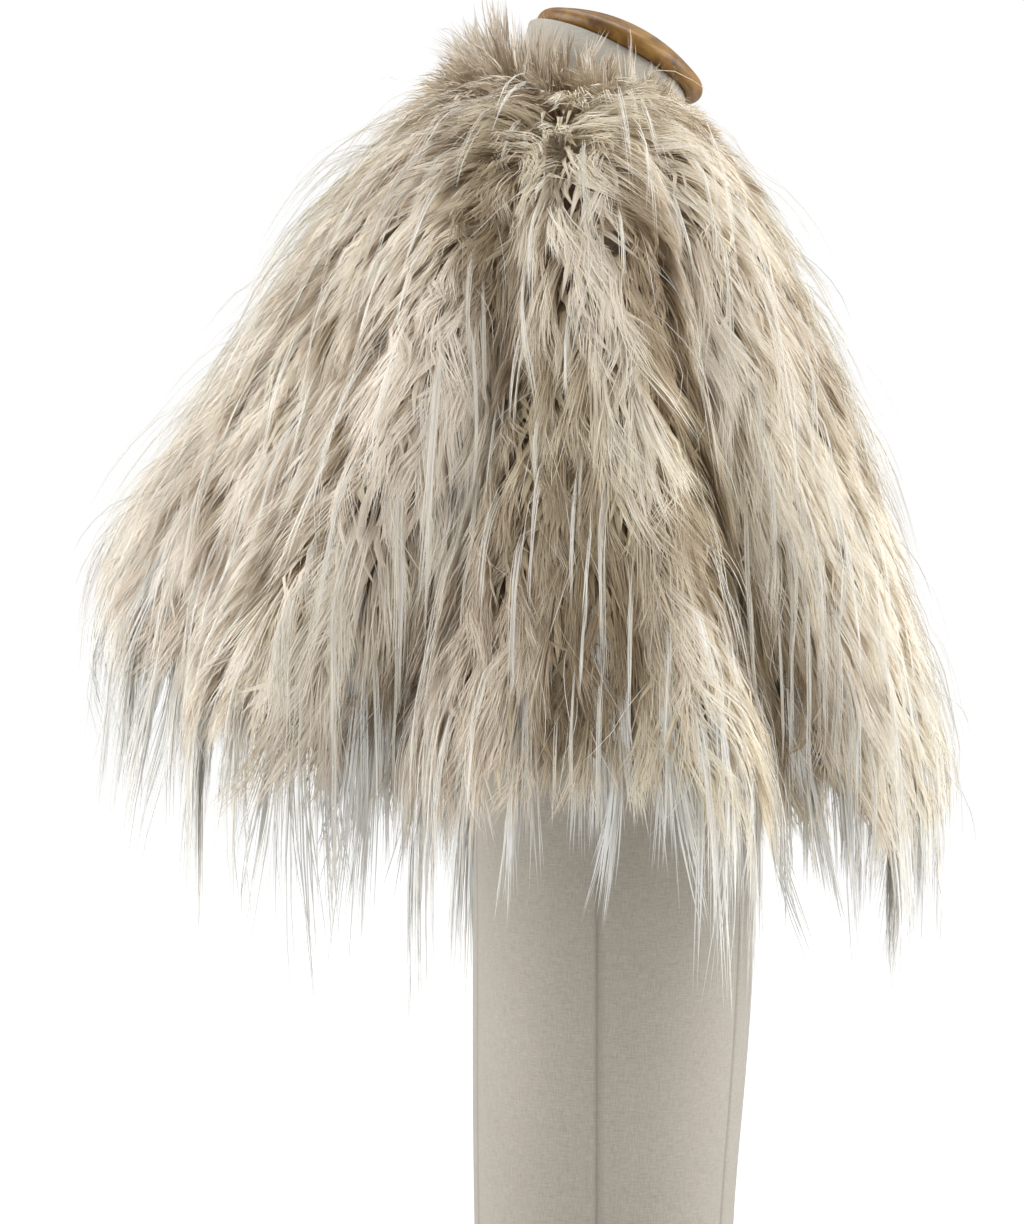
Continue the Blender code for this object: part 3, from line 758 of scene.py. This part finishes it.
layers = {
    "Underfur": {
        **plainLayer, "seed": 21, "material": pileHair, "spacing": 0.0076, "rowSpacing": 0.0076,
        "ruffle": 1.6, "smooth": 0.5, "wisps": 2, "strands": 1, "steps": 3,
        "tuftSize": (0.004, 0.004), "wispSize": (0.001, 0.001), "tuftGather": 0.1,
        "length": 0.036, "longHem": 0.2, "lengthSpread": 0.12, "shortest": 0.8,
        "rise": 0.017, "swiftness": 1.8, "droop": 0.25, "standing": 0.3, "upright": 0.028,
        "stray": 0.12, "bend": 0.15, "wispTurn": 0.2, "kink": 0.001, "start": -0.001,
        "width": 0.0044, "taper": (0.7, 1.0, 0.7, 0), "roll": 0.2, "softness": 0.8, "stripes": 0.03,
        "tone": 0.48, "toneByCrest": 0.04, "toneByShade": 0.18, "tonePatch": 0.05, "toneSpread": 0.03,
        "wispTone": 0.02, "strandTone": 0.02, "ownWarmth": (0, 0),
    },
    "Topcoat": {
        **plainLayer, "seed": 22, "material": pileHair, "spacing": 0.0088, "rowSpacing": 0.015,
        "ruffle": 1.6, "smooth": 0.5, "wisps": 6, "strands": 7, "steps": 3, "hidden": 0.18,
        "tuftSize": (0.0048, 0.009), "wispSize": (0.0014, 0.0034), "tuftGather": 0.76,
        "wispGather": 0.8, "gatherLate": 1.4,
        "length": 0.058, "longHem": 0.22, "lengthSpread": 0.16, "shortest": 0.66,
        "rise": 0.0215, "dome": 0.3, "swiftness": 1.35, "droop": 0.05, "standing": 1.0, "upright": 0.042,
        "stray": 0.1, "bend": 0.1, "wispTurn": 0.11, "strandTurn": 0.05, "kink": 0.001,
        "width": 0.00078, "thinShare": 0.45, "taper": (0.8, 1.0, 0.66, 0), "roll": 0.2, "rounding": 0.5,
        "softness": 0.66, "stripes": 0.01,
        "tone": 0.65, "toneByCrest": 0.03, "toneByShade": 0.29, "tonePatch": 0.03, "toneSpread": 0.065,
        "wispTone": 0.045, "strandTone": 0.02, "ownWarmth": (0, 0),
    },
    "GuardLocks": {
        **plainLayer, "seed": 23, "material": silverHair, "spacing": 0.019, "rowSpacing": 0.028,
        "from": 0.08, "keep": 0.66, "patchy": 0.7, "onPale": 0.3,
        "wisps": 3, "strands": 4, "steps": 5, "hidden": 0.12, "follows": 0.35, "plumb": 0.7, "hang": 0.018,
        "tuftSize": (0.0012, 0.005), "wispSize": (0.0004, 0.004), "tuftGather": 0.88,
        "wispGather": 0.9, "gatherLate": 1.6, "length": 0.108, "lengthSpread": 0.2, "shortest": 0.7,
        "rise": 0.0285, "dome": 0.1, "swiftness": 3.2, "droop": 0.06, "standing": 0.5, "upright": 0.044,
        "stray": 0.07, "bend": 0.07, "wispTurn": 0.03, "strandTurn": 0.015, "kink": 0.0005,
        "width": 0.00044, "thinShare": 0.3, "taper": (0.7, 0.95, 1.0, 0.95, 0.75, 0), "rounding": 0.5,
        "softness": 0.6, "stripes": 0.006,
        "tone": 0.82, "toneByShade": 0.05, "tonePatch": 0.06, "toneSpread": 0.1,
        "wispTone": 0.05, "strandTone": 0.06, "ownWarmth": (1, 0.85),
    },
    "Fringe": {
        **plainLayer, "seed": 24, "material": silverHair, "spacing": 0.0168, "rowSpacing": 0.017,
        "from": 0.84, "keep": 1.05, "patchy": 0.7, "ragged": 0.74,
        "wisps": 4, "strands": 8, "steps": 5, "hidden": 0.1, "follows": 0.5, "plumb": 0.4, "hang": 0.025,
        "tuftSize": (0.0046, 0.011), "wispSize": (0.0018, 0.005), "tuftGather": 0.68,
        "wispGather": 0.8, "gatherLate": 1.2, "length": 0.153, "lengthSpread": 0.24, "shortest": 0.56,
        "rise": 0.015, "dome": 0.1, "swiftness": 3.0, "droop": 0.15,
        "stray": 0.05, "bend": 0.06, "wispTurn": 0.07, "strandTurn": 0.03, "kink": 0.0014,
        "width": 0.00098, "thinShare": 0.25, "taper": (0.7, 1.0, 1.0, 0.9, 0.6, 0), "rounding": 0.5,
        "softness": 0.8, "stripes": 0.008,
        "tone": 0.88, "tonePatch": 0.08, "toneSpread": 0.1, "wispTone": 0.06, "strandTone": 0.06,
        "ownWarmth": (1, 0.1),
    },
    "Strays": {
        **plainLayer, "seed": 25, "material": silverHair, "spacing": 0.0135, "rowSpacing": 0.018,
        "keep": 0.9, "patchy": 0.4, "wisps": 1, "strands": 1, "steps": 6, "hang": 0.018,
        "tuftSize": (0.004, 0.004), "wispSize": (0.001, 0.001), "length": 0.085, "lengthSpread": 0.25,
        "rise": 0.03, "swiftness": 2.6, "droop": -0.05, "standing": 0.8, "upright": 0.048,
        "stray": 0.2, "bend": 0.16, "wispTurn": 0.1, "kink": 0.004,
        "width": 0.00032, "taper": (0.8, 1.0, 1.0, 1.0, 0.9, 0.8, 0), "roll": 0.8, "softness": 0.4,
        "stripes": 0.003, "tone": 0.74, "toneSpread": 0.12, "ownWarmth": (1, 0.7),
    },
}
camelNames = {
    "front_right": "frontRight", "side_right": "sideRight", "back": "back",
    "side_left": "sideLeft", "front_left": "frontLeft",
}
hairPieces = {name: [] for name in panelNames}
hairTotal = 0
for layerName, layer in layers.items():
    hair = growHair(layer)
    for number, panel in enumerate(panelNames):
        chosen = np.flatnonzero(hair["panel"] == number)
        groups = [(camelNames[panel] + layerName, chosen)]
        if panel == "back" and layerName == "Topcoat":
            first = hair["azimuth"][chosen] < 180
            groups = [("backRightTopcoat", chosen[first]), ("backLeftTopcoat", chosen[~first])]
        for title, group in groups:
            piece = ribbonMesh(title, hair, group, layer)
            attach(piece, "root")
            if layerName == "Topcoat":
                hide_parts("pile_" + panel)
            hairPieces[panel].append(piece)
            triangles = len(group) * (2 * layer["steps"] - 1)
            hairTotal += triangles
            print(title, len(group), "strands", triangles, "triangles")
print("hair triangles in all", hairTotal)


backing = {
    "thickness": 0.0018,
    "thinnest": 0.0030,  # faces narrower than this are the wall's rims
    "centre": (0, 0.02, 0.45),
    "cuts": {  # widest and deepest flat, in metres
        "front_right": (0.30, 0.41), "side_right": (0.25, 0.45), "back": (0.68, 0.43),
        "side_left": (0.25, 0.45), "front_left": (0.30, 0.41),
    },
}


def backingMaterial():
    cloth = {"Sheen Weight": 0.25, "Specular IOR Level": 0.25, "Roughness": 0.9}
    material, nodes, shader = newMaterial("knitBacking", cloth)
    place = addNode(nodes, "TexCoord")["Object"]
    turned = addNode(nodes, "Mapping", {"Vector": place, "Scale": (1, 1, 1.6)})[0]
    loops = addNode(nodes, "TexVoronoi", {"Vector": turned, "Scale": 620}, feature="F1")["Distance"]
    blotch = addNode(nodes, "TexNoise", {"Vector": place, "Scale": 45})[0]
    tones = addRamp(nodes, blotch, [(0.3, (0.30, 0.245, 0.185)), (0.7, (0.40, 0.335, 0.26))])
    # each knit loop painted lighter in its middle and darker at its edges: painted shade between the loops
    knotShade = addRamp(nodes, loops, [(0.0, (1.08, 1.08, 1.08)), (0.7, (0.72, 0.72, 0.72))])
    both = mixColours(nodes, 1, tones, knotShade, blend_type="MULTIPLY")
    ridges = addNode(nodes, "Bump", {"Height": loops, "Strength": 0.4, "Distance": 0.0006})[0]
    feed(shader.node, {"Base Color": both, "Normal": ridges})
    return material


knitBacking = backingMaterial()
for panel in panelNames:
    sheet = copyOf(panel, camelNames[panel] + "Cloth")
    middle = Vector(backing["centre"])
    for face in sheet.data.polygons:
        spots = [sheet.data.vertices[i].co for i in face.vertices]
        sides = [(a - b).length for a, b in zip(spots, spots[1:] + spots[:1])]
        inner = face.normal.dot((face.center - middle).normalized()) < 0
        face.select = inner or min(sides) < backing["thinnest"]
    bpy.ops.object.mode_set(mode="EDIT")
    bpy.ops.mesh.select_mode(type="FACE")
    bpy.ops.mesh.delete(type="FACE")
    bpy.ops.object.mode_set(mode="OBJECT")
    keepModifier(sheet, "SUBSURF", levels=1, render_levels=1, boundary_smooth="PRESERVE_CORNERS")
    keepModifier(sheet, "SOLIDIFY", thickness=backing["thickness"], offset=-1)
    bpy.ops.object.shade_smooth()
    sheet.data.materials.append(knitBacking)
    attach(sheet, "root")
    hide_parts(panel)


form = {
    "columns": 40,  # corners in a full ring of the CAD form
    "seams": {0: 0, 4: 0, 10: 0.5, 18: 0, 20: 0, 22: 0, 30: -0.5, 36: 0},  # their columns and shifts
    "seamTop": 0.70,
    "seamWidth": 0.0016,
    "seamDepth": 0.0009,
    "level": 0.001,  # metres an edge climbs before it counts as upright
}


def linenMaterial():
    cloth = {"Sheen Weight": 0.30, "Specular IOR Level": 0.20, "Sheen Roughness": 0.5, "Roughness": 0.85}
    material, nodes, shader = newMaterial("linenCover", cloth)
    place = addNode(nodes, "TexCoord")["Object"]
    threads = {}  # they run round and up the form, slightly slubbed
    for number, scale in enumerate([(190, 190, 2600), (2300, 2300, 170)]):
        turned = addNode(nodes, "Mapping", {"Vector": place, "Scale": scale})[0]
        threads[number] = addNode(nodes, "TexNoise", {"Vector": turned, "Scale": 1, "Detail": 2})[0]
    weave = addNode(nodes, "Math", threads, operation="MULTIPLY")[0]
    shades = [(0.12, (0.345, 0.314, 0.266)), (0.26, (0.412, 0.381, 0.328)), (0.44, (0.463, 0.432, 0.378))]
    tones = addRamp(nodes, weave, shades)
    blotch = addNode(nodes, "TexNoise", {"Vector": place, "Scale": 9, "Detail": 4})[0]
    soft = addRamp(nodes, blotch, [(0.3, (0.965, 0.955, 0.945)), (0.7, (1.03, 1.03, 1.02))])
    both = mixColours(nodes, 1, tones, soft, blend_type="MULTIPLY")
    stitched = addNode(nodes, "Attribute", attribute_name="seam")["Fac"]
    seamed = mixColours(nodes, remap(nodes, stitched, (0, 1), (0, 0.62)), both, (0.22, 0.195, 0.16, 1))
    ridges = addNode(nodes, "Bump", {"Height": weave, "Strength": 0.3, "Distance": 0.0004})[0]
    feed(shader.node, {"Base Color": seamed, "Normal": ridges})
    return material


dressForm = copyOf("form_body", "dressForm")
rings = {}
for vertex in dressForm.data.vertices:
    rings.setdefault(round(vertex.co.z, 4), []).append(vertex)
columnOf = {}
for ring in rings.values():
    if len(ring) >= form["columns"]:
        ring.sort(key=lambda corner: round(math.degrees(math.atan2(-corner.co.x, -corner.co.y)), 2) % 360)
        shifted = {}
        for place, vertex in enumerate(ring):
            columnOf[vertex.index] = place
            shift = form["seams"].get(place, 0)
            if shift:
                beside = ring[place + int(math.copysign(1, shift))].co
                shifted[vertex.index] = vertex.co.lerp(beside, abs(shift))
        for index, spot in shifted.items():
            dressForm.data.vertices[index].co = spot
seamEdges = 0
for edge in dressForm.data.edges:
    first, last = (columnOf.get(i, -1) for i in edge.vertices)
    low, high = sorted(dressForm.data.vertices[i].co.z for i in edge.vertices)
    onSeam = first == last and first in form["seams"]
    edge.select = onSeam and high - low > form["level"] and high < form["seamTop"]
    seamEdges += edge.select
pickOnly(dressForm)
bpy.ops.object.mode_set(mode="EDIT")
bpy.ops.mesh.select_mode(type="EDGE")
bpy.ops.mesh.bevel(offset=form["seamWidth"], segments=2, affect="EDGES")
bpy.ops.object.mode_set(mode="OBJECT")
uses = {}
for face in dressForm.data.polygons:
    if face.select:
        for key in face.edge_keys:
            uses[key] = uses.get(key, 0) + 1
sunk = set()
for ends, count in uses.items():
    low, high = sorted(dressForm.data.vertices[i].co.z for i in ends)
    if count == 2 and high - low > form["level"]:
        sunk.update(ends)
seamMark = dressForm.data.attributes.new("seam", "FLOAT", "POINT")
for i in sunk:  # the seam's middle line is drawn in
    vertex = dressForm.data.vertices[i]
    vertex.co -= vertex.normal * form["seamDepth"]
    seamMark.data[i].value = 1
print("form seams", seamEdges, "edges,", len(sunk), "points drawn in")
bpy.ops.object.mode_set(mode="EDIT")
bpy.ops.mesh.select_all(action="DESELECT")
bpy.ops.mesh.edges_select_sharp(sharpness=math.radians(50))
bpy.ops.transform.edge_crease(value=1)
bpy.ops.object.mode_set(mode="OBJECT")
keepModifier(dressForm, "SUBSURF", levels=1, render_levels=1)
bpy.ops.object.shade_smooth_by_angle(angle=math.radians(50))
dressForm.data.materials.append(linenMaterial())
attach(dressForm, "root")
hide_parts("form_body")
print("dress form", len(dressForm.data.polygons), "faces")


def woodMaterial():
    varnish = {"Coat Weight": 0.18, "Coat Roughness": 0.15, "Specular IOR Level": 0.35, "Roughness": 0.4}
    material, nodes, shader = newMaterial("varnishedWood", varnish)
    place = addNode(nodes, "TexCoord")["Object"]
    along = {"Vector": place, "Rotation": (0.5, 0.1, 0.3), "Scale": (7, 60, 60)}
    turned = addNode(nodes, "Mapping", along)[0]
    lines = {"Vector": turned, "Scale": 1.6, "Detail": 6, "Distortion": 0.6}
    grain = addNode(nodes, "TexNoise", lines)[0]
    browns = [(0.28, (0.10, 0.043, 0.009)), (0.5, (0.245, 0.124, 0.026)), (0.72, (0.37, 0.205, 0.050))]
    feed(shader.node, {"Base Color": addRamp(nodes, grain, browns)})
    return material


neckCap = copyOf("neck_cap", "neckCap")
keepModifier(neckCap, "SUBSURF", levels=2, render_levels=2)
bpy.ops.object.shade_smooth()
neckCap.data.materials.append(woodMaterial())
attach(neckCap, "root")
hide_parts("neck_cap")
print("neck cap", len(neckCap.data.polygons), "faces")


studio = {
    "eye": (-1.40, 0.0564, 0.440),
    "lens": 66.45,
    "world": 0.215,  # light from the camera's side and behind, and how much more from both ends
    "worldEnds": 0.80,
    "floorToLight": (0.80, 0.80, 0.80, 1),  # its paint for the light that it throws back
    "floorToEye": (0.24, 0.24, 0.24, 1),
    "floorGlow": 0.90,
    "lights": [  # name, place, aim, size, watts
        ("keyFront", (-0.5, -2.0, 1.2), (0, 0, 0.5), 2.0, 47.5),
        ("keyBack", (-0.4, 2.1, 1.1), (0, 0, 0.5), 2.0, 43),
        ("overhead", (0.1, 0, 2.4), (0, 0, 0.4), 1.8, 26),
    ],
}

bpy.ops.mesh.primitive_plane_add(size=12, location=(0, 0, 0))
floor = bpy.context.object
floor.name = "studioFloor"
paint = {"Roughness": 0.8, "Specular IOR Level": 0.1, "Emission Color": (1, 1, 1, 1)}
floorMaterial, nodes, shader = newMaterial("paleFloor", paint)
toEye = addNode(nodes, "LightPath")["Is Camera Ray"]
greys = mixColours(nodes, toEye, studio["floorToLight"], studio["floorToEye"])
glow = addNode(nodes, "Math", {0: toEye, 1: studio["floorGlow"]}, operation="MULTIPLY")[0]
feed(shader.node, {"Base Color": greys, "Emission Strength": glow})
floor.data.materials.append(floorMaterial)

world = bpy.data.worlds.new("studioWorld")
bpy.context.scene.world = world
world.use_nodes = True
nodes = world.node_tree.nodes
nodes.clear()
towards = addNode(nodes, "TexCoord")["Generated"]
axes = addNode(nodes, "SeparateXYZ", {0: towards})
ends = addNode(nodes, "Math", {0: axes["Y"], 1: 2}, operation="POWER")[0]
spread = {0: ends, 1: studio["worldEnds"], 2: studio["world"]}
strength = addNode(nodes, "Math", spread, operation="MULTIPLY_ADD")[0]
dim = addNode(nodes, "Background", {"Color": (1, 1, 1, 1), "Strength": strength})[0]
bright = addNode(nodes, "Background", {"Color": (1, 1, 1, 1), "Strength": 1})[0]
seen = addNode(nodes, "LightPath")["Is Camera Ray"]
mixed = addNode(nodes, "MixShader", {0: seen, 1: dim, 2: bright})[0]
addNode(nodes, "OutputWorld", {"Surface": mixed})

for name, place, aim, size, watts in studio["lights"]:
    light = bpy.data.objects.new(name, bpy.data.lights.new(name, "AREA"))
    bpy.context.collection.objects.link(light)
    light.data.size, light.data.energy = size, watts
    light.location = place
    light.rotation_euler = (Vector(aim) - Vector(place)).to_track_quat("-Z", "Y").to_euler()

camera = bpy.data.objects.new("camera", bpy.data.cameras.new("camera"))
bpy.context.collection.objects.link(camera)
camera.location = studio["eye"]
camera.rotation_euler = (math.radians(90), 0, math.radians(-90))
camera.data.lens = studio["lens"]
camera.data.sensor_width = 36
bpy.context.scene.camera = camera
print("studio is lit")

bpy.context.view_layer.update()
